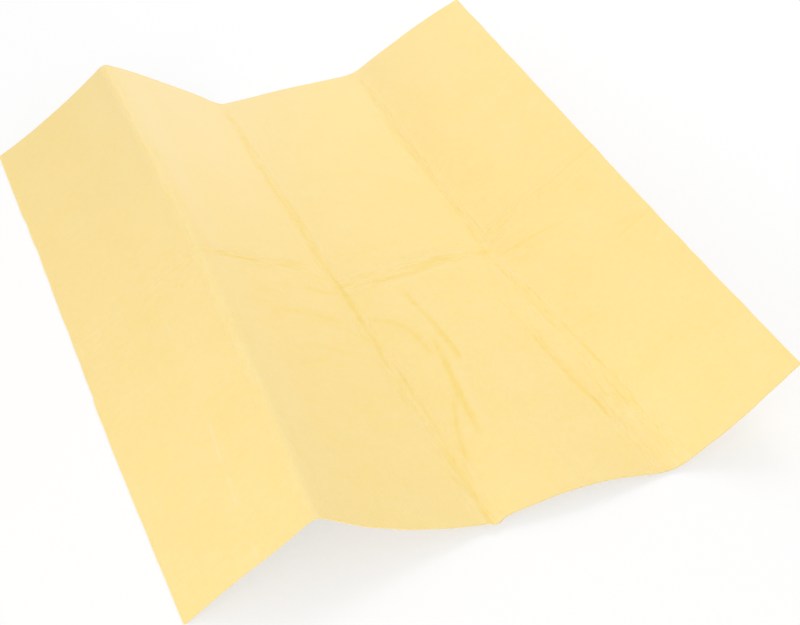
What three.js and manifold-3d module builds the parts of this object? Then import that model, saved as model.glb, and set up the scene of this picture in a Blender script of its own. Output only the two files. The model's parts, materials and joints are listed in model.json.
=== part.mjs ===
import * as THREE from 'three';
import { mergeVertices } from 'three/addons/utils/BufferGeometryUtils.js';
import Module from 'manifold-3d';

const wasm = await Module();
wasm.setup();

// A wiping cloth lies half unfolded on a table, seen in millimetres with +Z up.
// Three creases run along it, from the near edge at -Y to the far edge at +Y. They part it into four
// panels. The left two stand as a tent, the third lies on the table and the last rises to a free edge.

// Cut size of the sheet
const sheet_width = 440;
const sheet_length = 540;
const sheet_thickness = 0.8;

// The sheet was folded in quarters across its width, and the folds drift from the true quarters.
// Each drift is measured along the cut edge, towards the right edge.
const near_ridge_drift = -12;
const near_valley_drift = -4;
const near_right_crease_drift = 9;
const far_ridge_drift = 1;
const far_valley_drift = -1;

// Heights of the creases and the right edge over the line that the valley rests on
const near_ridge_height = 51;
const far_ridge_height = 60;
const near_valley_lift = 4;
const near_right_edge_height = 57;
const far_right_edge_height = 48;

// Bow of each panel's cut edge, at its middle, up from the straight line between its two creases
const near_inner_left_bow = -6.5;
const near_inner_right_bow = 9.5;
const near_outer_right_bow = -2.5;
const far_outer_left_bow = -3;
const far_inner_left_bow = 2;
const far_inner_right_bow = 1;
const far_outer_right_bow = 3;

// The crease across the sheet's middle turns up and down by turns, from panel to panel
const cross_crease_height = 1.8;
const cross_crease_reach = 46;

// Two panels meet at a crease with this gap, and the cloth is pressed flat this deep where it rests
const crease_gap = 0.3;
const rest_cut = 0.5;

// Mesh steps across and along each panel, the steps along drawn in towards the cross crease
const steps_across = 8;
const length_shares = [0, 0.1, 0.2, 0.3, 0.38, 0.44, 0.5, 0.56, 0.62, 0.7, 0.8, 0.9, 1];

// Values that follow from the sizes above
const quarter = sheet_width / 4;
const valley_height = sheet_thickness - rest_cut;
const left_edge_height = -rest_cut;
const middle_share = 0.5;

// The cut edge at one end, as five stations with the bow of the panel after each one.
// A station holds its distance along the edge and its height.
const near_stations = [
  { along: 0, height: left_edge_height, bow: 0 },
  { along: quarter + near_ridge_drift, height: near_ridge_height, bow: near_inner_left_bow },
  { along: 2 * quarter + near_valley_drift, height: valley_height + near_valley_lift, bow: near_inner_right_bow },
  { along: 3 * quarter + near_right_crease_drift, height: valley_height, bow: near_outer_right_bow },
  { along: sheet_width, height: near_right_edge_height },
];
const far_stations = [
  { along: 0, height: left_edge_height, bow: far_outer_left_bow },
  { along: quarter + far_ridge_drift, height: far_ridge_height, bow: far_inner_left_bow },
  { along: 2 * quarter + far_valley_drift, height: valley_height, bow: far_inner_right_bow },
  { along: 3 * quarter, height: valley_height, bow: far_outer_right_bow },
  { along: sheet_width, height: far_right_edge_height },
];

// One panel's cut edge is a shallow arc of the panel's width between two stations.
function edgeArc(start, end) {
  const width = end.along - start.along;
  const half_angle = (4 * start.bow) / width;
  const chord = half_angle === 0 ? width : (width * Math.sin(half_angle)) / half_angle;
  const rise = end.height - start.height;
  const run = Math.sqrt(chord * chord - rise * rise);
  return { start, width, half_angle, slope: Math.atan2(rise, run), run };
}

// A point on an arc, at a share of its width, counted from the arc's first station
function arcPoint(arc, share) {
  if (arc.half_angle === 0) {
    const reach = arc.width * share;
    return new THREE.Vector2(reach * Math.cos(arc.slope), reach * Math.sin(arc.slope));
  }
  const radius = arc.width / (2 * arc.half_angle);
  const first = arc.slope + arc.half_angle;
  const turned = first - 2 * arc.half_angle * share;
  return new THREE.Vector2(
    radius * (Math.sin(first) - Math.sin(turned)),
    radius * (Math.cos(turned) - Math.cos(first)),
  );
}

// The four arcs of a cut edge, placed so that the valley crease lies at x = 0
function edgeProfile(stations) {
  const arcs = [];
  for (let i = 0; i + 1 < stations.length; i += 1) {
    arcs.push(edgeArc(stations[i], stations[i + 1]));
  }
  let x = -(arcs[0].run + arcs[1].run);
  for (const arc of arcs) {
    arc.x = x;
    x += arc.run;
  }
  return arcs;
}

const near_edge = edgeProfile(near_stations);
const far_edge = edgeProfile(far_stations);

// A point of the sheet: straight lines run along the panel from the near arc to the far arc.
function sheetPoint(panel, share, length_share) {
  const near_arc = near_edge[panel];
  const far_arc = far_edge[panel];
  const near = arcPoint(near_arc, share);
  const far = arcPoint(far_arc, share);
  return new THREE.Vector3(
    THREE.MathUtils.lerp(near_arc.x + near.x, far_arc.x + far.x, length_share),
    sheet_length * length_share,
    THREE.MathUtils.lerp(near_arc.start.height + near.y, far_arc.start.height + far.y, length_share),
  );
}

// The upward normal of the sheet there, from two short steps over it
function sheetNormal(panel, share, length_share) {
  const step_share = 0.01;
  const low = Math.min(share, 1 - step_share);
  const near = Math.min(length_share, 1 - step_share);
  const corner = sheetPoint(panel, low, near);
  const across = sheetPoint(panel, low + step_share, near).sub(corner);
  const along = sheetPoint(panel, low, near + step_share).sub(corner);
  return across.cross(along).normalize();
}

// The cross crease fades out at the lengthwise creases and a short way along the panel.
function crossCreaseRise(panel, share, length_share) {
  const distance = Math.abs(length_share - middle_share) * sheet_length;
  const fade = Math.max(0, 1 - distance / cross_crease_reach);
  return cross_crease_height * fade * Math.sin(Math.PI * (panel + share));
}

function toManifold(geometry) {
  const bare = geometry.clone();
  bare.deleteAttribute('normal');
  bare.deleteAttribute('uv');
  const merged = mergeVertices(bare);
  return new wasm.Manifold(new wasm.Mesh({
    numProp: 3,
    vertProperties: new Float32Array(merged.attributes.position.array),
    triVerts: new Uint32Array(merged.index.array),
  }));
}

function fromManifold(solid) {
  const mesh = solid.getMesh();
  const geometry = new THREE.BufferGeometry();
  geometry.setAttribute('position', new THREE.BufferAttribute(new Float32Array(mesh.vertProperties), 3));
  geometry.setIndex(new THREE.BufferAttribute(new Uint32Array(mesh.triVerts), 1));
  geometry.computeVertexNormals();
  return geometry;
}

// Everything above the table: what the cloth reaches below it is pressed flat.
function aboveTable() {
  const size = 2 * (sheet_width + sheet_length);
  const box = new THREE.BoxGeometry(size, size, size);
  box.translate(0, 0, size / 2);
  return toManifold(box);
}

// One panel as a thin closed solid. A crease turns about a line in the face that closes on itself,
// so fold_low and fold_high say which part of the thickness lies above that line at the panel's two sides.
function panelGeometry(panel, fold_low, fold_high, crease_low, crease_high) {
  const columns = steps_across + 1;
  const rows = length_shares.length;
  const positions = [];
  for (const face of [1, 0]) {
    for (const length_share of length_shares) {
      const width = THREE.MathUtils.lerp(near_edge[panel].width, far_edge[panel].width, length_share);
      const trim = crease_gap / 2 / width;
      const first = crease_low ? trim : 0;
      const last = crease_high ? 1 - trim : 1;
      for (let i = 0; i < columns; i += 1) {
        const share = THREE.MathUtils.lerp(first, last, i / steps_across);
        const above = THREE.MathUtils.lerp(fold_low, fold_high, share) * sheet_thickness;
        const offset = above - (1 - face) * sheet_thickness + crossCreaseRise(panel, share, length_share);
        const point = sheetPoint(panel, share, length_share);
        point.addScaledVector(sheetNormal(panel, share, length_share), offset);
        positions.push(point.x, point.y, point.z);
      }
    }
  }
  const index = [];
  const under = columns * rows;
  const quad = (a, b, c, d) => index.push(a, b, c, a, c, d);
  for (let j = 0; j + 1 < rows; j += 1) {
    for (let i = 0; i < steps_across; i += 1) {
      const a = j * columns + i;
      quad(a, a + 1, a + columns + 1, a + columns);
      quad(under + a, under + a + columns, under + a + columns + 1, under + a + 1);
    }
    const left = j * columns;
    const right = left + steps_across;
    quad(left, left + columns, under + left + columns, under + left);
    quad(right, under + right, under + right + columns, right + columns);
  }
  for (let i = 0; i < steps_across; i += 1) {
    const far = (rows - 1) * columns + i;
    quad(i, under + i, under + i + 1, i + 1);
    quad(far, far + 1, under + far + 1, under + far);
  }
  const geometry = new THREE.BufferGeometry();
  geometry.setAttribute('position', new THREE.BufferAttribute(new Float32Array(positions), 3));
  geometry.setIndex(index);
  return geometry;
}

const table_side = aboveTable();

function panelMesh(name, colour, panel, fold_low, fold_high, crease_low, crease_high) {
  const solid = toManifold(panelGeometry(panel, fold_low, fold_high, crease_low, crease_high));
  const material = new THREE.MeshStandardMaterial({ color: colour, roughness: 0.95, metalness: 0 });
  const mesh = new THREE.Mesh(fromManifold(solid.intersect(table_side)), material);
  mesh.name = name;
  return mesh;
}

// The ridge folds about the underside, so the cloth lies above its line: 1 at the ridge.
// The other two creases fold about the upper face, so the cloth lies below their lines: 0 there.
const cloth = new THREE.Group();
cloth.add(panelMesh('outer_left_panel', 0xf8df9b, 0, 1, 1, false, true));
cloth.add(panelMesh('inner_left_panel', 0xfbe4a4, 1, 1, 0, true, true));
cloth.add(panelMesh('inner_right_panel', 0xf9e19c, 2, 0, 0, true, true));
cloth.add(panelMesh('outer_right_panel', 0xfce5a0, 3, 0, 0, true, false));

// The origin is the middle of the footprint, on the table.
const bounds = new THREE.Box3().setFromObject(cloth);
const middle = bounds.getCenter(new THREE.Vector3());
cloth.position.set(-middle.x, -middle.y, -bounds.min.z);

export default cloth;
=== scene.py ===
"""A synthetic chamois cloth lies half unfolded on a table: the looks around its four packed panels.

Blender's units are metres. A name that ends in _mm is in millimetres, and so are the places on the
sheet. A place there is (across, along): the way from the left cut edge, on which the three
lengthwise creases lie at even quarters, and the way from the near cut edge.
"""

from __future__ import annotations

import json
import logging
import math
from dataclasses import dataclass, replace
from enum import Enum
from functools import partial
from typing import NamedTuple

import bpy
import numpy as np
from bpy.types import ID, Material, Mesh, Node, NodeSocket, NodeTree, Object, World
from numpy import ndarray as Array
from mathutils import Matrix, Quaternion, Vector
from mathutils.bvhtree import BVHTree


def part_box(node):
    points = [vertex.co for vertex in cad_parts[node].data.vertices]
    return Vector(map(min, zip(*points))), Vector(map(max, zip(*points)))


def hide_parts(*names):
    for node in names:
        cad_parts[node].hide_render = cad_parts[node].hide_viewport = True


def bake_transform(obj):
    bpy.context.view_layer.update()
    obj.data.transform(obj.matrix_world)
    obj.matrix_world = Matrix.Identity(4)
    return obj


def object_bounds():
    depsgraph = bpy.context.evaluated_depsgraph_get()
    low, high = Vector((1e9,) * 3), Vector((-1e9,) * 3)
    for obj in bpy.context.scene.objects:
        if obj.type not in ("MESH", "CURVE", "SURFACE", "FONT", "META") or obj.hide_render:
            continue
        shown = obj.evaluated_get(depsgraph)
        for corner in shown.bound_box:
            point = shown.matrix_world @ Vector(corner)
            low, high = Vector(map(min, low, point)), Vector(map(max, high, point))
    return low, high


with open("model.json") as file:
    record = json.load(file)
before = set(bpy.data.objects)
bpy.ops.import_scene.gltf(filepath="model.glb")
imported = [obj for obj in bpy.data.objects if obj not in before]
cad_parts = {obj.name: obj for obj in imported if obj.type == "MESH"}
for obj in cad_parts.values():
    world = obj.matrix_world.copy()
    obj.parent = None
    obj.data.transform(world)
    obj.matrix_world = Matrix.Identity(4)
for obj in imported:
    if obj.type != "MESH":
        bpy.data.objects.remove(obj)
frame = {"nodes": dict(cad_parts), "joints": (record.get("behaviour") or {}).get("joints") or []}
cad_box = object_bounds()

MM = 0.001
PANELS = ("outer_left_panel", "inner_left_panel", "inner_right_panel", "outer_right_panel")
WHITE = (1.0, 1.0, 1.0, 1.0)
LOG = logging.getLogger("chamois_cloth")


def smooth_step(share: Array) -> Array:
    """Eases a share, clipped to 0 and 1, from 0 to 1 with level ends."""
    held = np.clip(share, 0.0, 1.0)
    return held * held * (3.0 - 2.0 * held)


def curve_through(at: Array, places: Array, values: Array) -> Array:
    """Reads a smooth curve through a few chosen points.

    Args:
        at: Where the curve is read.
        places: The points' places, in rising order.
        values: The curve's value at each place.

    Returns:
        The curve's value at each of at, level past both ends.
    """
    slopes = np.gradient(values, places)
    low = np.clip(np.searchsorted(places, at) - 1, 0, len(places) - 2)
    span = places[low + 1] - places[low]
    share = np.clip((at - places[low]) / span, 0.0, 1.0)
    rest = 1.0 - share
    return (
        (1.0 + 2.0 * share) * rest**2 * values[low]
        + share**2 * (3.0 - 2.0 * share) * values[low + 1]
        + span * share * rest * (rest * slopes[low] - share * slopes[low + 1])
    )


def wavering(run: Array, shortest: float, longest: float, seed: int) -> Array:
    """Makes an uneven curve from a few waves of random length and phase.

    Args:
        run: Where the curve is read.
        shortest: The shortest wave.
        longest: The longest one.
        seed: What the waves are drawn from.

    Returns:
        The curve, mostly between -1 and 1.
    """
    waves = 7
    draw = np.random.RandomState(seed)
    lengths = np.exp(draw.uniform(math.log(shortest), math.log(longest), waves))
    phases = draw.uniform(0.0, math.tau, waves)
    total = sum(np.sin(run * (math.tau / length) + phase) for length, phase in zip(lengths, phases))
    return total * math.sqrt(1.0 / waves)


class Places(NamedTuple):
    """Places on the sheet: how far across it from the left edge, and how far along it from the near one."""

    across: Array
    along: Array


class Fold(Enum):
    """Which way a pressed line turns the sheet, seen from above."""

    RIDGE = 1
    VALLEY = -1


class Run(Enum):
    """Which way a line on the sheet mostly runs; its points rise that way."""

    ACROSS = 0
    ALONG = 1

    def turned(self, first: Array, second: Array) -> tuple[Array, Array]:
        """Turns across and along into the way on a line and the way beside it, or back again."""
        return (first, second) if self is Run.ACROSS else (second, first)


class Press(Enum):
    """How a line got into the sheet: folded and pressed to a sharp line, or only creased softly."""

    SHARP = "sharp"
    SOFT = "soft"


@dataclass(frozen=True)
class PressedLine:
    """One crease or wrinkle in the sheet, as a low relief that fades out at its ends, in millimetres."""

    fold: Fold
    run: Run
    height: float
    width: float
    points: tuple[tuple[float, float], ...]
    press: Press = Press.SHARP
    fade: float = 10.0
    seed: int = 0

    def window(self, axes: Places) -> tuple[slice, slice]:
        """Finds the part of the grid that the line can reach.

        Args:
            axes: The grid's places across and along the sheet, each rising.

        Returns:
            The rows and the columns.
        """
        widths, spare = 4.0, 1.5
        reach = widths * self.width + spare
        parts = []
        for places, values in zip(axes, zip(*self.points)):
            low, high = np.searchsorted(places, (min(values) - reach, max(values) + reach))
            parts.append(slice(int(low), int(high)))
        return parts[1], parts[0]

    def distance(self, places: Places) -> tuple[Array, Array]:
        """Measures from places on the sheet to the line, which wavers a little and comes and goes.

        Args:
            places: The places.

        Returns:
            The distance to the line, signed, and how much of the line is left there, from 0 to about 1.
        """
        sideways, broken, shortest, longest = 0.13, 0.2, 7.0, 40.0
        chosen = np.array(sorted(self.points, key=lambda point: point[self.run.value]), float)
        run, side = self.run.turned(*places)
        stops, values = self.run.turned(*chosen.T)
        centre = curve_through(run, stops, values)
        centre += sideways * wavering(run, shortest, longest, self.seed)
        lean = np.interp(run, stops, np.gradient(values, stops))
        left = smooth_step((run - stops[0]) / self.fade) * smooth_step((stops[-1] - run) / self.fade)
        left *= 1.0 - broken + broken * wavering(run, shortest, longest, self.seed + 1)
        return (side - centre) / np.hypot(1.0, lean), left

    def marks(self, places: Places) -> tuple[Array, Array]:
        """Shapes the line. A ridge stands up, and a valley is a groove between two shoulders.

        Args:
            places: Places on the sheet.

        Returns:
            The line's height over the plain sheet, and how much light or shade is painted there: from
            0 to about 1 of painted highlight on a ridge, and to about -1 of painted shade in a valley.
        """
        full_height, narrow, wide, groove_depth = 0.4, 2.0, 0.35, 1.15
        distance, left = self.distance(places)
        reach = np.abs(distance) / self.width
        soft_core = np.exp(-narrow * reach**2)
        core = np.clip(1.0 - reach, 0.0, None) ** 2 if self.press is Press.SHARP else soft_core
        if self.fold is Fold.VALLEY:
            core = np.exp(-wide * reach**2) - core * groove_depth
        # The second share drives the painted highlight on a ridge and the painted shade in a valley
        strength = self.fold.value * min(1.0, self.height / full_height)
        return self.height * left * core, strength * left * soft_core


@dataclass(frozen=True)
class Fraying:
    """The short fine lines that run beside a worn fold, at random between its two sides, in millimetres.

    ridge_share is how many of them stand up, and crinkled is how finely the sheet between them is
    crinkled, from 0 to 1.
    """

    run: Run
    places: tuple[float, ...]
    low_side: tuple[float, ...]
    high_side: tuple[float, ...]
    count: int
    shortest: float
    longest: float
    height: float
    width: float
    seed: int
    ridge_share: float = 0.4
    crinkled: float = 1.0

    def sides(self, run: Array) -> tuple[Array, Array]:
        """Returns the two lines that the bundle lies between, at places along them."""
        return np.interp(run, self.places, self.low_side), np.interp(run, self.places, self.high_side)

    def strands(self) -> list[PressedLine]:
        """Draws the fine lines.

        Returns:
            The lines, each with its own place, length and height.
        """
        bends, stray, low_height, thin, thick = 4, 0.05, 0.5, 0.8, 1.3
        draw = np.random.RandomState(self.seed)
        lines = []
        for _ in range(self.count):
            length = draw.uniform(self.shortest, self.longest)
            start = draw.uniform(self.places[0] - length / 2.0, self.places[-1] - length / 2.0)
            run = start + length * np.linspace(0.0, 1.0, bends)
            share = draw.uniform(0.0, 1.0) + draw.uniform(-stray, stray, bends)
            low, high = self.sides(run)
            side = low + (high - low) * share
            fold = Fold.RIDGE if draw.uniform() < self.ridge_share else Fold.VALLEY
            height = self.height * draw.uniform(low_height, 1.0)
            width = self.width * draw.uniform(thin, thick)
            pairs = zip(*self.run.turned(run, side))
            points = tuple((float(across), float(along)) for across, along in pairs)
            lines.append(PressedLine(fold, self.run, height, width, points, fade=length / 3.0))
        return lines

    def crinkle(self, places: Places) -> Array:
        """Tells where the sheet is finely crinkled, which the material draws.

        Args:
            places: Places on the sheet.

        Returns:
            How crinkled each place is, from 0 to 1.
        """
        end_fade, side_fade = 12.0, 0.35
        run, side = self.run.turned(*places)
        low, high = self.sides(run)
        beside = np.abs((side - low) / (high - low) - 0.5) - 0.5
        beyond = np.minimum(run - self.places[0], self.places[-1] - run)
        return self.crinkled * smooth_step(1.0 - beside / side_fade) * smooth_step(beyond / end_fade)


@dataclass(frozen=True)
class SheetCut:
    """The flat cut of the sheet, in millimetres, and the quarters that it was folded in."""

    width: float = 440.0
    length: float = 540.0
    thickness: float = 0.8
    quarters: int = 4

    @property
    def quarter(self) -> float:
        """The width of one panel between two creases."""
        return self.width / self.quarters


@dataclass(frozen=True)
class FoldRounding:
    """How soft each bend is, in millimetres: the left edge, the three creases and the right edge.

    The softness changes along the sheet: from near_half to far_half over halves, and from there to
    far_end over ends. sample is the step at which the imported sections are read.
    """

    near_half: tuple[float, ...] = (0.8, 4.2, 1.6, 8.0, 0.8)
    far_half: tuple[float, ...] = (0.8, 3.2, 1.5, 1.5, 0.8)
    far_end: tuple[float, ...] = (0.8, 3.2, 4.5, 7.0, 0.8)
    halves: tuple[float, float] = (205.0, 262.0)
    ends: tuple[float, float] = (470.0, 536.0)
    sample: float = 0.5


@dataclass(frozen=True)
class EdgeDrift:
    """How far each crease and side edge drifts sideways, in millimetres towards +X.

    The bow is at mid length, the lean is halfway to either end, and the flare is at the far cut edge.
    """

    bow: tuple[float, ...] = (-1.0, 4.7, 0.0, -3.8, -1.3)
    lean: tuple[float, ...] = (-0.5, 0.3, -0.3, 0.8, -0.5)
    flare: tuple[float, ...] = (0.0, 0.0, 0.0, 5.0, 0.0)
    flare_power: float = 5.0


@dataclass(frozen=True)
class CutWaver:
    """The unevenness of the cut edges, in millimetres, and how far into the sheet it reaches.

    The left edge stands back by a step between two places along it, and the near edge puts out a
    small tongue at the end of the valley crease.
    """

    depth: float = 0.16
    shortest: float = 24.0
    longest: float = 120.0
    reach: float = 5.0
    step_from: float = 448.0
    step_to: float = 218.0
    step_depth: float = 0.6
    step_length: float = 10.0
    tongue_at: float = 222.5
    tongue_depth: float = 2.4
    tongue_half_width: float = 3.4
    first_seed: int = 50


@dataclass(frozen=True)
class GridSpacing:
    """The mesh's steps in millimetres: fine in the zones that hold creases, coarse between them."""

    fine: float = 0.65
    coarse: float = 2.0
    zones_across: tuple[tuple[float, float], ...] = ((61, 70), (103, 119), (212, 266), (308, 346))
    zones_along: tuple[tuple[float, float], ...] = ((184, 196), (234, 288))

    def steps(self, whole: float, zones: tuple[tuple[float, float], ...]) -> Array:
        """Places the mesh's lines over one side of the sheet.

        Args:
            whole: The side's length.
            zones: The fine zones along it, in order.

        Returns:
            Rising places from 0 to the whole side.
        """
        marks = [0.0, *(end for zone in zones for end in zone), whole]
        places = [np.array([0.0])]
        for index, (low, high) in enumerate(zip(marks, marks[1:])):
            step = self.fine if index % 2 else self.coarse
            count = max(1, round((high - low) / step))
            places.append(np.linspace(low, high, count + 1)[1:])
        return np.concatenate(places)


@dataclass(frozen=True)
class Cockle:
    """The soft unevenness of a handled sheet: a sum of low waves, in millimetres."""

    height: float
    longest: float
    shortest: float
    waves: int
    seed: int

    def relief(self, places: Places) -> Array:
        """Sums the waves.

        Args:
            places: Places on the sheet.

        Returns:
            The waves' height at each place.
        """
        draw = np.random.RandomState(self.seed)
        total = np.zeros(places.across.shape)
        for _ in range(self.waves):
            length = math.exp(draw.uniform(math.log(self.shortest), math.log(self.longest)))
            heading, phase = draw.uniform(0.0, math.tau, 2)
            way = places.across * math.cos(heading) + places.along * math.sin(heading)
            total += np.sin(way * math.tau / length + phase)
        return self.height * total / math.sqrt(self.waves)


@dataclass(frozen=True)
class PalePatch:
    """An oval patch that is painted paler and fades out towards its rim, in millimetres."""

    middle: tuple[float, float]
    half_size: tuple[float, float]
    strength: float

    def share(self, places: Places) -> Array:
        """Returns how strong the patch is at places on the sheet."""
        off = [(way - mid) / half for way, mid, half in zip(places, self.middle, self.half_size)]
        return self.strength * np.exp(-(off[0] ** 2 + off[1] ** 2))


groove = partial(PressedLine, Fold.VALLEY, Run.ALONG)
rib = partial(PressedLine, Fold.RIDGE, Run.ALONG)
cross_groove = partial(PressedLine, Fold.VALLEY, Run.ACROSS)
cross_rib = partial(PressedLine, Fold.RIDGE, Run.ACROSS)
fray = partial(Fraying, Run.ALONG)
cross_fray = partial(Fraying, Run.ACROSS)
SOFT = Press.SOFT


# The pressed lines that run along the sheet, as its quarters were folded: ridge, valley and right crease
LENGTHWISE_CREASES = (
    rib(0.08, 2.4, ((111, 262), (111, 400), (111, 560)), fade=20),
    groove(0.12, 2.0, ((108, 280), (108.5, 400), (108.5, 560)), fade=20),
    rib(0.07, 3.6, ((110, -20), (111.5, 140), (112, 286)), fade=20),
    groove(0.13, 2.0, ((219.5, 176), (220, 236), (218.8, 360), (219, 532)), fade=16),
    groove(0.24, 2.2, ((219, 200), (220, 236), (219, 290)), fade=20),
    groove(0.14, 4.6, ((219, 196), (218.5, 330), (219, 545)), SOFT, 40),
    groove(0.1, 1.4, ((221.6, 340), (221.8, 440), (221.2, 536))),
    groove(0.1, 1.4, ((216.6, 290), (216.2, 380), (216.8, 470))),
    groove(0.15, 1.6, ((219, 196), (217.5, 114), (218.4, 60), (219.5, -20))),
    groove(0.15, 1.6, ((220, 206), (222.6, 150), (221.4, 60), (220.5, -20))),
    groove(0.22, 1.8, ((220, 90), (220.2, 40), (220, -20)), fade=24),
    groove(0.18, 1.8, ((328.4, 250), (330.6, 300), (331, 400), (329.5, 470)), fade=20),
    groove(0.1, 1.4, ((332.6, 290), (334, 380), (333, 452)), fade=16),
    groove(0.12, 1.5, ((328, 440), (331, 490), (330, 530)), fade=30),
    groove(0.22, 2.0, ((328, 244), (328.3, 262), (329, 292)), fade=14),
    groove(
        0.21, 2.2, ((308.6, 214), (312, 184), (314.6, 152), (315, 120), (316.6, 92), (319, 62)), SOFT, 30,
    ),
    groove(0.12, 2.2, ((328, 266), (321, 236), (310, 200)), fade=14),
    groove(0.12, 2.0, ((316, 100), (319.5, 56), (325, 8)), fade=24),
    groove(
        0.2, 1.4,
        ((329, 262), (331, 236), (336, 200), (338, 160), (340, 120), (341.5, 80), (340.6, 44), (339.4, 12)),
        fade=30,
    ),
    groove(
        0.17, 1.4, ((328.5, 262), (330, 225), (331.4, 180), (333, 140), (333, 90), (331.5, 44)), fade=26,
    ),
)

# The fold in half, from the left edge to the right one. It turns up and down by turns, panel to panel.
CROSSWISE_CREASE = (
    cross_rib(0.1, 3.0, ((-14, 274), (42, 276), (83, 276), (112, 275))),
    cross_rib(0.1, 1.8, ((74, 277), (94, 275), (112, 276)), fade=14),
    cross_groove(0.3, 2.0, ((107, 271), (123, 275), (136, 281.5), (152, 282.5)), fade=5),
    cross_groove(0.26, 2.0, ((108, 270), (128, 273.5), (140, 277), (158, 277.5)), fade=5),
    cross_groove(0.24, 2.0, ((124, 273), (147, 278), (166, 278), (192, 279.5)), fade=12),
    cross_groove(0.2, 1.8, ((156, 282), (172, 284), (186, 283.5), (204, 277))),
    cross_groove(0.14, 1.6, ((176, 276), (190, 276), (206, 272), (219, 268)), fade=8),
    cross_rib(0.16, 2.6, ((116, 267), (130, 269.5), (146, 271.5), (164, 272)), SOFT, 12),
    cross_rib(0.12, 1.8, ((130, 284), (150, 286.5), (170, 287)), fade=12),
    cross_groove(0.24, 3.4, ((183, 260), (192, 254), (203, 252), (218, 255)), SOFT, 10),
    cross_rib(0.24, 2.2, ((218, 269.5), (240, 269.5), (262, 268), (280, 265), (304, 265), (332, 272))),
    cross_groove(0.19, 1.8, ((217, 269), (238, 264.8), (256, 261), (276, 259), (300, 261)), fade=7),
    cross_groove(0.16, 4.6, ((237, 256), (248, 253), (260, 252), (276, 252.4), (296, 259)), SOFT, 9),
    cross_groove(0.12, 1.8, ((238, 254.6), (250, 251.4), (262, 250), (274, 250.2), (290, 255.4))),
    cross_rib(0.12, 1.8, ((226, 263), (246, 257.6), (264, 255), (282, 256))),
    cross_groove(0.18, 4.0, ((272, 256.5), (292, 259), (312, 258), (334, 259.5)), SOFT, 8),
    cross_groove(0.16, 1.6, ((284, 262.5), (300, 262.5), (316, 260.6), (330, 261.6)), fade=6),
    cross_groove(0.14, 1.6, ((280, 256.5), (298, 257.5), (314, 256), (331, 257)), fade=8),
    cross_rib(0.16, 3.4, ((240, 247), (262, 244.5), (284, 248), (306, 252)), SOFT, 12),
    cross_groove(0.16, 1.8, ((329, 275), (345, 277.5), (368, 281), (382, 284))),
    cross_groove(0.2, 1.8, ((374, 280), (398, 279), (422, 280.5), (450, 283.5)), fade=14),
    cross_groove(0.16, 1.5, ((330, 262), (342, 267), (354, 273), (374, 278))),
    cross_groove(0.28, 2.2, ((329, 257), (338, 250), (350, 246), (366, 243), (390, 235)), fade=14),
    cross_groove(0.2, 2.0, ((400, 192), (411, 189.8), (425, 190.6), (450, 190.6)), fade=14),
    cross_rib(0.12, 2.4, ((384, 201), (396, 195), (412, 191)), SOFT, 8),
)

# The wrinkles that handling left beside the folds, most of them on the panel that lies flat
LOOSE_WRINKLES = (
    groove(0.42, 2.8, ((259.8, 138), (260, 164), (259, 192), (257.4, 214), (255.4, 244)), SOFT, 20),
    groove(0.26, 1.5, ((260.8, 142), (261.6, 164), (260.6, 196)), fade=14),
    groove(0.46, 3.3, ((241.6, 61), (243.2, 80), (245.8, 106), (249, 134), (254.5, 184)), SOFT, 26),
    groove(0.2, 1.8, ((246, 92), (247.6, 118), (251, 156)), fade=20),
    groove(0.16, 1.6, ((244, 84), (244.6, 108), (247, 136)), fade=16),
    groove(0.38, 2.6, ((226, 44), (230, 72), (236, 95), (245, 120)), SOFT, 18),
    rib(0.18, 3.4, ((249, 84), (252, 112), (256, 150)), SOFT, 22),
    rib(0.16, 3.0, ((255, 170), (257, 196), (253, 226)), SOFT, 18),
    groove(0.34, 3.2, ((246, 156), (243.6, 188), (237, 204), (219, 222)), SOFT, 9),
    cross_groove(0.22, 4.8, ((146, 214), (160, 219.5), (180, 221), (208, 216)), SOFT, 14),
    cross_groove(0.16, 4.0, ((168, 208), (182, 211.5), (198, 215.5), (212, 214)), SOFT, 12),
    cross_groove(0.15, 5.4, ((152, 178), (172, 181), (190, 179), (212, 168)), SOFT, 16),
    cross_rib(0.08, 5.0, ((140, 205), (165, 210), (186, 206), (210, 198)), SOFT, 16),
)

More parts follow.
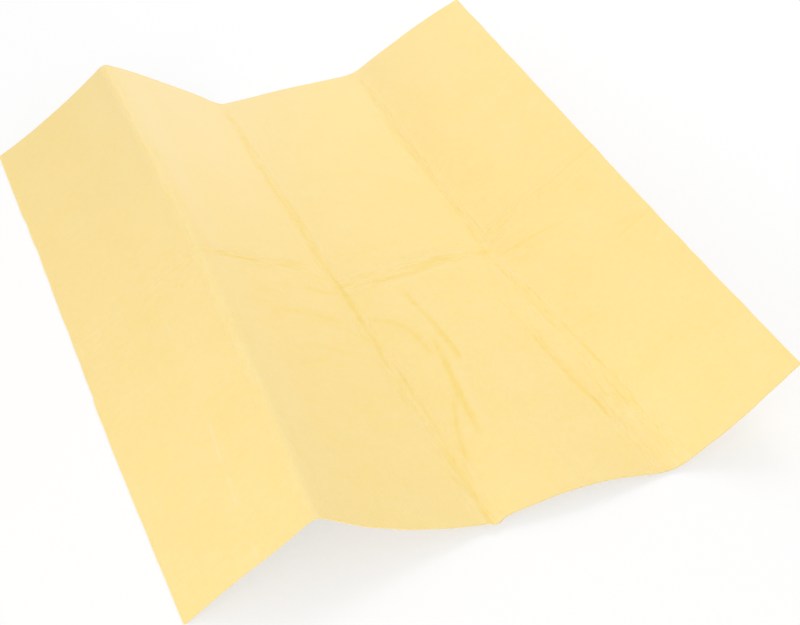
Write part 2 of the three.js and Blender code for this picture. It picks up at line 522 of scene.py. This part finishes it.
# The bundles of short fine lines beside each worn fold. Each one's numbers are the places along the
# fold, the two sides there, how many lines it has, how short, long, high and wide they are, the seed,
# the share of ridges and how crinkled the sheet is.
FRAYED_FOLDS = (
    fray((290, 560), (103, 103), (118, 117), 70, 8, 28, 0.14, 1.4, 21, 0.5, 0.6),
    fray((-20, 290), (103, 105), (119, 117), 110, 6, 24, 0.15, 1.4, 22, 0.85, 0.8),
    fray((190, 560), (214.5, 215), (223.5, 223), 90, 8, 30, 0.15, 1.2, 23, 0.35),
    fray((-20, 60, 190), (214.5, 213, 215), (225, 227, 224), 90, 8, 36, 0.17, 1.3, 24, 0.5),
    fray((262, 530), (326.5, 326), (337, 336), 60, 8, 34, 0.15, 1.2, 25, 0.4),
    fray((60, 140, 250), (326, 327, 325), (343, 341, 332), 90, 12, 46, 0.16, 1.2, 26, 0.45),
    fray((60, 140, 230), (312, 311, 310), (320, 318, 322), 30, 8, 30, 0.16, 1.3, 35, 0.45, 0.6),
    fray((-20, 30, 90), (320, 318, 317), (346, 345, 343), 76, 12, 44, 0.2, 1.3, 27, 0.5),
    cross_fray((112, 200), (267, 273), (286, 288), 48, 8, 28, 0.2, 1.4, 28, 0.45),
    cross_fray((216, 332), (249, 252), (270, 270), 80, 8, 28, 0.18, 1.4, 29, 0.45),
    cross_fray((330, 440), (262, 272), (279, 286), 40, 8, 30, 0.16, 1.3, 30, 0.4),
    cross_fray((330, 440), (236, 186), (256, 200), 26, 10, 36, 0.12, 1.8, 31, 0.45, 0.5),
    cross_fray((56, 112), (246, 258), (294, 288), 34, 5, 18, 0.16, 2.0, 32, 0.5, 0.6),
    cross_fray((0, 90), (205, 205), (300, 300), 40, 5, 18, 0.1, 2.4, 33, 0.5, 0.3),
    cross_fray((128, 216), (160, 160), (262, 262), 50, 8, 28, 0.12, 2.6, 34, 0.5, 0.3),
)


class PackedSection:
    """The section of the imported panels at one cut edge, as the sheet's upper face."""

    def __init__(self, y: float) -> None:
        """Reads each panel's section from above, y metres along the frame."""
        self.fits = np.array([self.panel_fit(name, y) for name in PANELS])

    @staticmethod
    def panel_fit(node: str, y: float) -> Array:
        """Fits one panel's upper face with a smooth cubic.

        Args:
            node: The panel's node.
            y: Where the section is taken, in metres.

        Returns:
            The cubic's factors for x and z, against the share of the panel's width.
        """
        readings, clear, degree = 700, 0.01, 3
        mesh = frame["nodes"][node].data
        tree = BVHTree.FromPolygons(
            [vertex.co for vertex in mesh.vertices],
            [tuple(face.vertices) for face in mesh.polygons],
        )
        low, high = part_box(node)
        hits = []
        for x in np.linspace(low.x, high.x, readings):
            hit = tree.ray_cast(Vector((x, y, high.z + clear)), Vector((0.0, 0.0, -1.0)))[0]
            if hit is not None:
                hits.append((hit.x, hit.z))
        section = np.array(hits)
        steps = np.hypot(*np.diff(section, axis=0).T)
        share = np.concatenate([[0.0], np.cumsum(steps)])
        return np.polyfit(share / share[-1], section, degree)

    def points(self, quarters: Array) -> Array:
        """Reads the section.

        Args:
            quarters: Places across the sheet, in panels from the left edge.

        Returns:
            Each place's x and z in metres.
        """
        panel = np.clip(quarters.astype(int), 0, len(self.fits) - 1)
        power = np.arange(self.fits.shape[1] - 1, -1, -1)
        return np.einsum("npc,np->nc", self.fits[panel], (quarters - panel)[:, None] ** power)


@dataclass
class ClothSurface:
    """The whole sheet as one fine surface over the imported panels, with its creases and wrinkles.

    reading_inset_mm is how far inside the cut edges the panels are read, rest_softness_mm is how softly
    the sheet comes down on the table, and edge_fade_mm is how far in the side edges stay as they are.
    """

    cut: SheetCut = SheetCut()
    spacing: GridSpacing = GridSpacing()
    rounding: FoldRounding = FoldRounding()
    drift: EdgeDrift = EdgeDrift()
    waver: CutWaver = CutWaver()
    waves: tuple[Cockle, ...] = (
        Cockle(height=0.35, longest=150.0, shortest=60.0, waves=10, seed=11),
        Cockle(height=0.04, longest=18.0, shortest=6.0, waves=60, seed=12),
    )
    # Four broad pale areas of painted light: painted sheen towards the far end, and more light painted
    # on the tent's right side beside the ridge. Then the row of short pale marks on the tent's left side.
    painted_light_and_marks: tuple[PalePatch, ...] = (
        PalePatch((170, 500), (70, 190), 0.75),
        PalePatch((290, 560), (150, 150), 0.35),
        PalePatch((127, 420), (13, 170), 0.35),
        PalePatch((126, 120), (12, 140), 0.25),
        PalePatch((67.2, 225), (1, 8), 0.55),
        PalePatch((67, 118), (0.9, 7), 0.8),
        PalePatch((66.4, 106), (0.9, 6), 0.7),
        PalePatch((65.5, 94), (1, 6), 0.85),
        PalePatch((64.9, 70), (1.3, 6), 0.5),
        PalePatch((63.8, 55), (1.2, 6), 0.75),
        PalePatch((63.3, 9), (1.3, 6), 0.7),
    )
    reading_inset_mm: float = 0.6
    rest_softness_mm: float = 0.25
    edge_fade_mm: float = 3.0

    def __post_init__(self) -> None:
        """Builds the sheet's two faces as grids of points, and tells how much painted light and pale marks
        each point takes.
        """
        spacing, inset = self.spacing, self.reading_inset_mm * MM
        self.across = spacing.steps(self.cut.width, spacing.zones_across)
        self.along = spacing.steps(self.cut.length, spacing.zones_along)
        self.places = Places(*np.meshgrid(self.across, self.along))
        self.ends = (PackedSection(cad_box[0].y + inset), PackedSection(cad_box[1].y - inset))
        plain = self.plain_face()
        self.waver_cuts(plain)
        relief, crease_light_and_shade = self.drawn_lines()
        relief += sum(wave.relief(self.places) for wave in self.waves)
        # Painted highlight on the ridges, above 0, and painted shade in the valleys, below 0
        self.crease_light_and_shade = np.clip(crease_light_and_shade, -1.0, 1.0)
        # The broad patches are painted sheen and light; the small ones are short pale marks
        self.highlight_and_marks = sum(patch.share(self.places) for patch in self.painted_light_and_marks)
        self.crinkle = self.crinkled()
        middle = self.laid_on_table(plain, relief)
        half = self.normals(middle) * (self.cut.thickness * MM / 2.0)
        self.upper = middle + half
        self.under = middle - half
        self.under[..., 2] = np.maximum(self.under[..., 2], cad_box[0].z)

    def plain_face(self) -> Array:
        """Lays straight lines along the panels between the two cut edges, with soft bends.

        Returns:
            The sheet's upper face without its relief, a point for each place on the grid.
        """
        rounding, drift = self.rounding, self.drift
        section = self.ruled(rounding.near_half)
        changes = ((rounding.halves, rounding.far_half), (rounding.ends, rounding.far_end))
        for (low, high), softness in changes:
            changed = smooth_step((self.along - low) / (high - low))[:, None, None]
            section = section * (1.0 - changed) + self.ruled(softness) * changed
        stations = np.arange(self.cut.quarters + 1) * self.cut.quarter
        share = (self.along / self.cut.length)[:, None]
        ways = (drift.bow, drift.lean, drift.flare)
        bow, lean, flare = (np.interp(self.across, stations, way) for way in ways)
        # The bow is a parabola that is 1 at mid length, and the lean a wave that turns back there.
        sideways = bow * 4.0 * share * (1.0 - share) + lean * np.sin(math.tau * share)
        sideways += flare * share**drift.flare_power
        face = np.empty((*self.places.across.shape, 3))
        face[..., 0] = section[..., 0] + sideways * MM
        face[..., 1] = cad_box[0].y + (cad_box[1].y - cad_box[0].y) * share
        face[..., 2] = section[..., 1]
        return face

    def ruled(self, softness: tuple[float, ...]) -> Array:
        """Lays straight lines between the two cut edges, whose bends are rounded by averaging.

        A section stays as it is at the side edges, where averaging would shorten the sheet.

        Args:
            softness: How far the averaging reaches, at the side edges and creases.

        Returns:
            The x and z of each place on the grid.
        """
        width, quarter = self.cut.width, self.cut.quarter
        fine = np.arange(0.0, width + self.rounding.sample, self.rounding.sample)
        nearest = np.rint(self.across / quarter).astype(int)
        reach = np.array(softness)[nearest][:, None]
        weights = np.exp(-0.5 * ((self.across[:, None] - fine[None, :]) / reach) ** 2)
        weights /= weights.sum(axis=1, keepdims=True)
        inside = np.minimum(self.across, width - self.across)
        at_edge = 1.0 - smooth_step(inside / self.edge_fade_mm)[:, None]
        edges = []
        for section in self.ends:
            rounded = weights @ section.points(fine / quarter)
            edges.append(rounded + (section.points(self.across / quarter) - rounded) * at_edge)
        share = (self.along / self.cut.length)[:, None, None]
        return edges[0] * (1.0 - share) + edges[1] * share

    def waver_cuts(self, face: Array) -> None:
        """Moves the points near the cut edges a little in and out, as a blade leaves them.

        Args:
            face: The plain upper face, which is changed.
        """
        waver, (across, along) = self.waver, self.places
        started = smooth_step((waver.step_from - along) / waver.step_length)
        ended = smooth_step((waver.step_to - along) / waver.step_length)
        off_tongue = (across - waver.tongue_at) / waver.tongue_half_width
        sides = (
            (0, across, along, waver.step_depth * (started - ended)),
            (0, self.cut.width - across, along, 0.0),
            (1, along, across, -waver.tongue_depth * np.exp(-off_tongue**2)),
            (1, self.cut.length - along, across, 0.0),
        )
        for seed, (axis, inside, run, extra) in enumerate(sides, start=waver.first_seed):
            shift = waver.depth * wavering(run, waver.shortest, waver.longest, seed) + extra
            face[..., axis] += shift * MM * np.exp(-inside / waver.reach)

    def drawn_lines(self) -> tuple[Array, Array]:
        """Draws every crease and wrinkle on the grid, each with its own seed.

        Returns:
            The relief in millimetres, and at each place the painted highlight of ridges, above 0, and the
            painted shade of valleys, below 0.
        """
        relief, crease_light_and_shade = np.zeros((2, *self.places.across.shape))
        strands = [strand for bundle in FRAYED_FOLDS for strand in bundle.strands()]
        lines = (*LENGTHWISE_CREASES, *CROSSWISE_CREASE, *LOOSE_WRINKLES, *strands)
        for index, line in enumerate(lines):
            line = replace(line, seed=2 * index)
            window = line.window(Places(self.across, self.along))
            height, strength = line.marks(Places(*(way[window] for way in self.places)))
            relief[window] += height
            crease_light_and_shade[window] += strength
        return relief, crease_light_and_shade

    def crinkled(self) -> Array:
        """Gathers the finely crinkled places, along the sheet and across it.

        Returns:
            Two shares for each point, from 0 to 1, and a 0.
        """
        shares = np.zeros((*self.places.across.shape, 3))
        for bundle in FRAYED_FOLDS:
            channel = 0 if bundle.run is Run.ALONG else 1
            shares[..., channel] = np.maximum(shares[..., channel], bundle.crinkle(self.places))
        return shares

    def laid_on_table(self, face: Array, relief: Array) -> Array:
        """Adds the relief, and lifts what would sink into the table.

        Args:
            face: The plain upper face.
            relief: The height to add at each point, in millimetres.

        Returns:
            The middle of the thickness, nowhere lower than half of it above the table.
        """
        middle = face + self.normals(face) * ((relief - self.cut.thickness / 2.0) * MM)[..., None]
        lowest = cad_box[0].z + self.cut.thickness * MM / 2.0
        over = middle[..., 2] - lowest
        middle[..., 2] = lowest + (over + np.hypot(over, self.rest_softness_mm * MM)) / 2.0
        return middle

    @staticmethod
    def normals(face: Array) -> Array:
        """Returns the upward normal at each point of a grid."""
        upward = np.cross(np.gradient(face, axis=1), np.gradient(face, axis=0))
        return upward / np.linalg.norm(upward, axis=-1, keepdims=True)


def add_object(name: str, data: ID) -> Object:
    """Adds an object to the scene.

    Args:
        name: The object's name.
        data: Its mesh, lamp or camera.

    Returns:
        The object.
    """
    added = bpy.data.objects.new(name, data)
    bpy.context.scene.collection.objects.link(added)
    return added


@dataclass(frozen=True)
class FoldStrip:
    """A strip of the sheet that bends at one crease, as a thin closed mesh between two panels' middles.

    span_mm is where it starts and ends across the sheet, and bend_mm is not used. Faces that meet
    past sharp_deg keep a sharp edge, and readings is how many places
    its width is measured at.
    """

    surface: ClothSurface
    crease: str
    nodes: tuple[str, ...]
    span_mm: tuple[float, ...]
    bend_mm: tuple[float, float]
    sharp_deg: float = 55.0
    readings: int = 400

    @property
    def columns(self) -> slice:
        """The strip's columns of the sheet's grid."""
        first, last = (int(np.abs(self.surface.across - place).argmin()) for place in self.span_mm)
        return slice(first, last + 1)

    @staticmethod
    def faces(rows: int, columns: int) -> Array:
        """Joins the grid's points into quads.

        Args:
            rows: The grid's rows.
            columns: The grid's columns.

        Returns:
            The corner numbers of the upper, under and rim quads.
        """
        below = rows * columns
        upper = np.arange(below).reshape(rows, columns)
        under = upper + below
        top = np.stack([upper[:-1, :-1], upper[:-1, 1:], upper[1:, 1:], upper[1:, :-1]], -1)
        bottom = np.stack([under[:-1, :-1], under[1:, :-1], under[1:, 1:], under[:-1, 1:]], -1)
        rim = np.concatenate([upper[0, :], upper[1:, -1], upper[-1, -2::-1], upper[-2:0:-1, 0]])
        after = np.roll(rim, -1)
        wall = np.stack([rim, rim + below, after + below, after], -1)
        return np.concatenate([top.reshape(-1, 4), bottom.reshape(-1, 4), wall])

    def build(self, finish: Material) -> Object:
        """Makes the strip's mesh and dresses it.

        Args:
            finish: The cloth's material.

        Returns:
            The strip's object.
        """
        faces = [face[:, self.columns] for face in (self.surface.upper, self.surface.under)]
        rows, columns = faces[0].shape[:2]
        points = np.concatenate([face.reshape(-1, 3) for face in faces])
        name = f"{self.crease}_strip"
        mesh = bpy.data.meshes.new(name)
        mesh.from_pydata(points.tolist(), [], self.faces(rows, columns).tolist())
        self.write_attributes(mesh)
        mesh.shade_smooth()
        mesh.set_sharp_from_angle(angle=math.radians(self.sharp_deg))
        mesh.materials.append(finish)
        strip = add_object(name, mesh)
        self.hang_on_bodies(strip)
        return strip

    def write_attributes(self, mesh: Mesh) -> None:
        """Stores each point's place on the flat sheet, its painted crease light and shade, its painted
        light and pale marks, and its crinkles, which the material reads.

        Args:
            mesh: The strip's mesh.
        """
        surface = self.surface
        across, along, painted_creases, highlight_and_marks = (
            grid[:, self.columns].ravel() for grid in (*surface.places, surface.crease_light_and_shade, surface.highlight_and_marks)
        )
        front = np.stack([across * MM, along * MM, np.zeros_like(across)], -1)
        back = front + np.array([0.0, 0.0, 1.0])
        crinkled = surface.crinkle[:, self.columns].reshape(-1, 3)
        for name, kind, upper, under in (
            ("flat_place", "FLOAT_VECTOR", front, back),
            ("crease_light_and_shade", "FLOAT", painted_creases, -painted_creases),
            ("light_and_marks_share", "FLOAT", highlight_and_marks, np.zeros_like(highlight_and_marks)),
            ("crinkle", "FLOAT_VECTOR", crinkled, crinkled),
        ):
            layer = mesh.attributes.new(name, kind, "POINT")
            values = np.concatenate([upper, under]).astype(np.float32).ravel()
            layer.data.foreach_set("value" if kind == "FLOAT" else "vector", values)

    def hang_on_bodies(self, strip: Object) -> None:
        """Args:
            strip: The strip's object.
        """
        joint = next(hinge for hinge in frame["joints"] if hinge["name"] == f"{self.crease}_fold")
        axis = Vector(joint["axis"]).normalized()
        sideways = Vector((1.0, 0.0, 0.0))
        sideways = (sideways - axis * sideways.dot(axis)).normalized()
        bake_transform(strip)
        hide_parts(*self.nodes)
        self.flat_size()

    def flat_size(self) -> tuple[float, float]:
        """Measures the strip as cut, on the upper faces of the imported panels.

        Returns:
            Its width, as the mean of its two cut edges, and its length, in metres.
        """
        first, last = self.surface.across[self.columns][[0, -1]] / self.surface.cut.quarter
        places = np.linspace(first, last, self.readings)
        widths = [np.hypot(*np.diff(end.points(places), axis=0).T).sum() for end in self.surface.ends]
        return float(np.mean(widths)), self.surface.cut.length * MM


def linear(colour: str) -> tuple[float, float, float, float]:
    """Turns an sRGB hex colour into Blender's linear one.

    Args:
        colour: Six hex digits after a #.

    Returns:
        Red, green, blue and an alpha of 1.
    """
    knee, toe, offset, power = 0.04045, 12.92, 0.055, 2.4
    shares = [int(colour[i : i + 2], 16) / 255.0 for i in (1, 3, 5)]
    red, green, blue = (
        share / toe if share <= knee else ((share + offset) / (1.0 + offset)) ** power for share in shares
    )
    return red, green, blue, 1.0


def emptied_tree(owner: Material | World) -> NodeTree:
    """Gives a material or the world an empty node tree.

    Args:
        owner: The material or world.

    Returns:
        Its tree.
    """
    owner.use_nodes = True
    owner.node_tree.nodes.clear()
    return owner.node_tree


def add_node(tree: NodeTree, kind: str, inputs: dict[str | int, object], **settings: str | bool) -> Node:
    """Adds a node with its settings and links.

    Args:
        tree: The node tree.
        kind: The node's type, without the ShaderNode that it starts with.
        inputs: A value for each named or numbered socket, or the output that feeds it.
        settings: Its properties.

    Returns:
        The node.
    """
    node = tree.nodes.new(f"ShaderNode{kind}")
    for name, value in settings.items():
        setattr(node, name, value)
    for name, value in inputs.items():
        socket = node.inputs[name]
        if isinstance(value, NodeSocket):
            tree.links.new(value, socket)
        else:
            socket.default_value = value
    return node


@dataclass(frozen=True)
class NonWovenChamois:
    """Synthetic chamois: viscose fibres felted into a mat and bonded with a soft latex.

    The mat is pressed, so the face is matt and even with a short suede nap. Fold lines that stand up
    get a painted highlight, a little paler, and those that turn down get painted shade, deeper in colour.
    cloud_shares are the sizes in millimetres and the strengths of the pale clouds in the mat.
    """

    name: str = "non_woven_chamois"
    body: str = "#FEE292"
    pale: str = "#FFE9AA"
    # Painted highlight: the colour of the painted sheen patches, the short pale marks and the ridges
    highlight_and_marks: str = "#FFEAB6"
    # Painted shade: the colour of the valleys
    painted_creases: str = "#FDE088"
    ridge_highlight_share: float = 0.5
    crease_shade_share: float = 1.0
    roughness: float = 0.92
    ior: float = 1.5
    specular: float = 0.2
    nap: float = 0.2
    nap_roughness: float = 0.5
    cloud_shares: tuple[tuple[float, float], ...] = ((34.0, 0.6), (6.0, 0.8), (1.8, 0.3))
    mat_detail: float = 2.0
    mat_roughness: float = 0.6
    fibre_mm: float = 1.1
    fibre_strength: float = 0.6
    relief_mm: float = 0.40
    crinkle_wide_mm: float = 1.7
    crinkle_long_mm: float = 11.0
    crinkle_detail: float = 1.0
    crinkle_relief_mm: float = 0.5

    def build(self) -> Material:
        """Makes the material.

        Returns:
            The cloth's material.
        """
        material = bpy.data.materials.new(self.name)
        tree = emptied_tree(material)
        read = {
            name: add_node(tree, "Attribute", {}, attribute_name=name)
            for name in ("flat_place", "crease_light_and_shade", "light_and_marks_share", "crinkle")
        }
        shader = add_node(tree, "BsdfPrincipled", {
            "Base Color": self.tinted(tree, read),
            "Roughness": self.roughness,
            "IOR": self.ior,
            "Specular IOR Level": self.specular,
            "Sheen Weight": self.nap,
            "Sheen Roughness": self.nap_roughness,
            "Sheen Tint": linear(self.pale),
            "Normal": self.felted(tree, read),
        })
        add_node(tree, "OutputMaterial", {"Surface": shader.outputs["BSDF"]})
        return material

    def grain(self, place: Node, size_mm: float) -> dict[str, object]:
        """Works out what a noise is fed for the uneven mat, at a real size.

        Args:
            place: The node that reads the place on the flat sheet.
            size_mm: The noise's size.

        Returns:
            Its inputs.
        """
        scale = 1.0 / (size_mm * MM)
        fixed = {"Detail": self.mat_detail, "Roughness": self.mat_roughness}
        return {"Vector": place.outputs["Vector"], "Scale": scale, **fixed}

    def tinted(self, tree: NodeTree, read: dict[str, Node]) -> NodeSocket:
        """Lays pale clouds, painted light and pale marks, painted highlight on ridges and painted shade in
        valleys over the sheet's own colour.

        The clouds are evened out: where every noise is at its middle of a half, so is the paleness.

        Args:
            tree: The material's tree.
            read: The nodes that read the mesh's values, by name.

        Returns:
            The colour.
        """
        half = 0.5
        paleness = half - half * sum(share for _, share in self.cloud_shares)
        for size_mm, share in self.cloud_shares:
            clouds = add_node(tree, "TexNoise", self.grain(read["flat_place"], size_mm))
            inputs = {0: clouds.outputs["Fac"], 1: share, 2: paleness}
            paleness = add_node(tree, "Math", inputs, operation="MULTIPLY_ADD").outputs[0]
        # Painted light and pale marks, then painted highlight on ridges and painted shade in valleys
        layers = [(paleness, self.pale), (read["light_and_marks_share"].outputs["Fac"], self.highlight_and_marks)]
        for share, tint in ((self.ridge_highlight_share, self.highlight_and_marks), (-self.crease_shade_share, self.painted_creases)):
            inputs = {0: read["crease_light_and_shade"].outputs["Fac"], 1: share}
            lines = add_node(tree, "Math", inputs, operation="MULTIPLY", use_clamp=True)
            layers.append((lines.outputs[0], tint))
        colour = linear(self.body)
        for share, tint in layers:
            inputs = {0: share, 6: colour, 7: linear(tint)}
            colour = add_node(tree, "Mix", inputs, data_type="RGBA").outputs[2]
        return colour

    def felted(self, tree: NodeTree, read: dict[str, Node]) -> NodeSocket:
        """Adds the relief of the felted fibres and of the fine crinkles beside the worn folds.

        A viscose fibre is about 0.02 mm thick, far too fine to show, so the relief is drawn at the
        size of the small tufts that fibres make. The crinkles are drawn out along each fold.

        Args:
            tree: The material's tree.
            read: The nodes that read the mesh's values, by name.

        Returns:
            The normal.
        """
        place = read["flat_place"].outputs["Vector"]
        tufts = add_node(tree, "TexNoise", self.grain(read["flat_place"], self.fibre_mm))
        felt = add_node(tree, "Bump", {
            "Strength": self.fibre_strength,
            "Distance": self.relief_mm * MM,
            "Height": tufts.outputs["Fac"],
        })
        shares = add_node(tree, "SeparateXYZ", {0: read["crinkle"].outputs["Vector"]})
        wide, long = 1.0 / (self.crinkle_wide_mm * MM), 1.0 / (self.crinkle_long_mm * MM)
        height = 0.0
        for channel, scale in enumerate(((wide, long, 1.0), (long, wide, 1.0))):
            drawn_out = add_node(tree, "VectorMath", {0: place, 1: scale}, operation="MULTIPLY")
            crinkles = add_node(tree, "TexNoise", {
                "Vector": drawn_out.outputs[0],
                "Scale": 1.0,
                "Detail": self.crinkle_detail,
            })
            inputs = {0: crinkles.outputs["Fac"], 1: shares.outputs[channel], 2: height}
            height = add_node(tree, "Math", inputs, operation="MULTIPLY_ADD").outputs[0]
        return add_node(tree, "Bump", {
            "Strength": 1.0,
            "Distance": self.crinkle_relief_mm * MM,
            "Height": height,
            "Normal": felt.outputs["Normal"],
        }).outputs["Normal"]


def seen_directly(tree: NodeTree) -> NodeSocket:
    """Tells what the eye sees as background from what lights the cloth.

    Args:
        tree: The node tree of the world or the table.

    Returns:
        1 where a camera, glossy or transmission ray looks, and 0 elsewhere.
    """
    path = add_node(tree, "LightPath", {})
    seen = path.outputs["Is Camera Ray"]
    for ray in ("Is Glossy Ray", "Is Transmission Ray"):
        inputs = {0: seen, 1: path.outputs[ray]}
        seen = add_node(tree, "Math", inputs, operation="MAXIMUM").outputs[0]
    return seen


@dataclass(frozen=True)
class MattWhitePaper:
    """Uncoated paper laid over the table: matt and a little grey, with no gloss or grain to see.

    The eye sees most of it as plain white, by its glow, and the rest keeps a light shadow of the cloth.
    """

    name: str = "matt_white_paper"
    colour: str = "#E9E7E3"
    glow: float = 0.65

    def build(self) -> Material:
        """Makes the material.

        Returns:
            The table's material.
        """
        material = bpy.data.materials.new(self.name)
        tree = emptied_tree(material)
        seen = seen_directly(tree)
        inputs = {0: seen, 6: linear(self.colour), 7: WHITE}
        colour = add_node(tree, "Mix", inputs, data_type="RGBA").outputs[2]
        paper = add_node(tree, "BsdfDiffuse", {"Color": colour})
        glow = add_node(tree, "Emission", {"Color": WHITE, "Strength": 1.0})
        share = add_node(tree, "Math", {0: seen, 1: self.glow}, operation="MULTIPLY")
        inputs = {0: share.outputs[0], 1: paper.outputs[0], 2: glow.outputs[0]}
        mixed = add_node(tree, "MixShader", inputs)
        add_node(tree, "OutputMaterial", {"Surface": mixed.outputs[0]})
        return material


@dataclass(frozen=True)
class SoftLamp:
    """A square soft lamp that aims at the middle of the cloth. Its place is in millimetres."""

    name: str
    place_mm: tuple[float, float, float]
    power: float
    colour: str = "#FFFFFF"
    side_mm: float = 800.0

    def build(self) -> None:
        """Hangs the lamp."""
        data = bpy.data.lights.new(self.name, "AREA")
        data.shape = "SQUARE"
        data.size = self.side_mm * MM
        data.energy = self.power
        data.color = linear(self.colour)[:3]
        lamp = add_object(self.name, data)
        lamp.visible_camera = False
        lamp.location = Vector(self.place_mm) * MM
        lamp.rotation_euler = (-lamp.location).to_track_quat("-Z", "Y").to_euler()


@dataclass(frozen=True)
class PaleStudio:
    """A pale table under an even white dome, with three soft lamps."""

    dome: float = 0.662
    table_side_mm: float = 9000.0
    paper: MattWhitePaper = MattWhitePaper()
    lamps: tuple[SoftLamp, ...] = (
        SoftLamp("near_left_lamp", (-1025.0, -1025.0, 388.0), 6.7, "#FFF5E4"),
        SoftLamp("near_lamp", (0.0, -1450.0, 388.0), 2.8),
        SoftLamp("far_right_lamp", (608.0, 608.0, 1229.0), 6.9),
    )

    def build_dome(self) -> None:
        """Makes the world: white to the eye, and a little dimmer as a light."""
        world = bpy.data.worlds.new("white_dome")
        tree = emptied_tree(world)
        inputs = {0: seen_directly(tree)}
        for number, strength in ((1, self.dome), (2, 1.0)):
            white = add_node(tree, "Background", {"Color": WHITE, "Strength": strength})
            inputs[number] = white.outputs[0]
        mixed = add_node(tree, "MixShader", inputs)
        add_node(tree, "OutputWorld", {"Surface": mixed.outputs[0]})
        bpy.context.scene.world = world

    def build_table(self) -> None:
        """Lays the table under the cloth."""
        half, level = self.table_side_mm * MM / 2.0, cad_box[0].z
        mesh = bpy.data.meshes.new("table_top")
        corners = [(-half, -half, level), (half, -half, level), (half, half, level), (-half, half, level)]
        mesh.from_pydata(corners, [], [(0, 1, 2, 3)])
        mesh.materials.append(self.paper.build())
        table = add_object("table_top", mesh)

    def build(self) -> None:
        """Builds the whole studio."""
        self.build_dome()
        self.build_table()
        for lamp in self.lamps:
            lamp.build()


@dataclass(frozen=True)
class PhotoCamera:
    """The camera where the photograph was taken from: in front, to the left and above."""

    place_mm: tuple[float, float, float] = (-325.3, -987.7, 757.3)
    aim_mm: tuple[float, float, float] = (19.5, -50.3, 0.0)
    roll_deg: float = -2.72
    lens_mm: float = 81.96
    sensor_mm: float = 36.0

    def build(self) -> None:
        """Makes the scene's camera."""
        data = bpy.data.cameras.new("photo_camera")
        data.lens = self.lens_mm
        data.sensor_width = self.sensor_mm
        camera = add_object("photo_camera", data)
        camera.location = Vector(self.place_mm) * MM
        level = (Vector(self.aim_mm) * MM - camera.location).to_track_quat("-Z", "Y")
        roll = Quaternion((0.0, 0.0, 1.0), math.radians(self.roll_deg))
        camera.rotation_euler = (level @ roll).to_euler()
        bpy.context.scene.camera = camera


def fold_strips(surface: ClothSurface) -> list[FoldStrip]:
    """Parts the sheet at the middles of its two inner panels, so that each strip holds one crease.

    Args:
        surface: The whole sheet.

    Returns:
        The three strips from left to right.
    """
    cut = surface.cut
    ends = (0.0, 1.5 * cut.quarter, 2.5 * cut.quarter, cut.width)
    bends = {"ridge": (-6.0, 6.0), "valley": (-5.0, 5.0), "right": (-8.0, 11.0)}
    return [
        FoldStrip(surface, crease, PANELS[i : i + 2], ends[i : i + 2], bend)
        for i, (crease, bend) in enumerate(bends.items())
    ]


def main() -> None:
    """Builds the camera, the studio and the cloth, and reports each piece."""
    logging.basicConfig(level=logging.INFO, format="%(name)s: %(message)s")
    bpy.context.scene.view_settings.view_transform = "Standard"
    PhotoCamera().build()
    PaleStudio().build()
    finish = NonWovenChamois().build()
    for part in fold_strips(ClothSurface()):
        strip = part.build(finish)
        LOG.info("%s: %d points, %d faces", strip.name, len(strip.data.vertices), len(strip.data.polygons))


if __name__ == "__main__":
    main()
